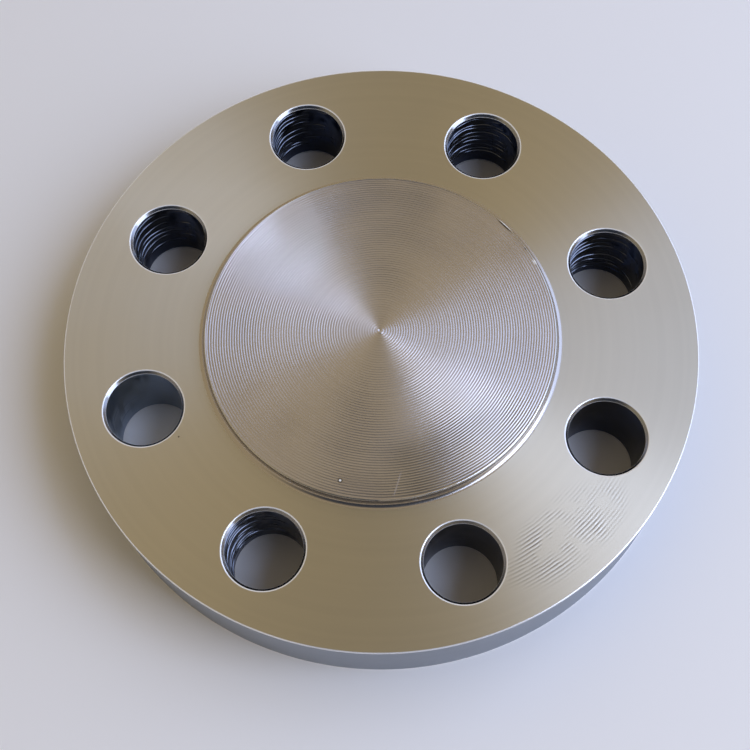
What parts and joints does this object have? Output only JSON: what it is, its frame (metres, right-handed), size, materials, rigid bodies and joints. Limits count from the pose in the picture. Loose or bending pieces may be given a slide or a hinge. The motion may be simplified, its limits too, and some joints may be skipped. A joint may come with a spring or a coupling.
{
  "type": "blind flange",
  "caption": "Solid machined steel disc with a raised gasket face and a circle of bolt holes, bolted on to close the end of a flanged pipe.",
  "frame": {"origin": "centre of the flat back face, which the flange lies on", "axes": "+Z along the flange's own axis, out of the raised gasket face; +X and +Y midway between two bolt holes"},
  "size_m": [0.22, 0.22, 0.034],
  "materials": {
    "turned_steel": "bare stainless steel, fine turned; spiral grooves on the gasket face, drilled bores"
  },
  "bodies": {
    "root": {"blind_flange": "turned_steel"}
  },
  "joints": []
}
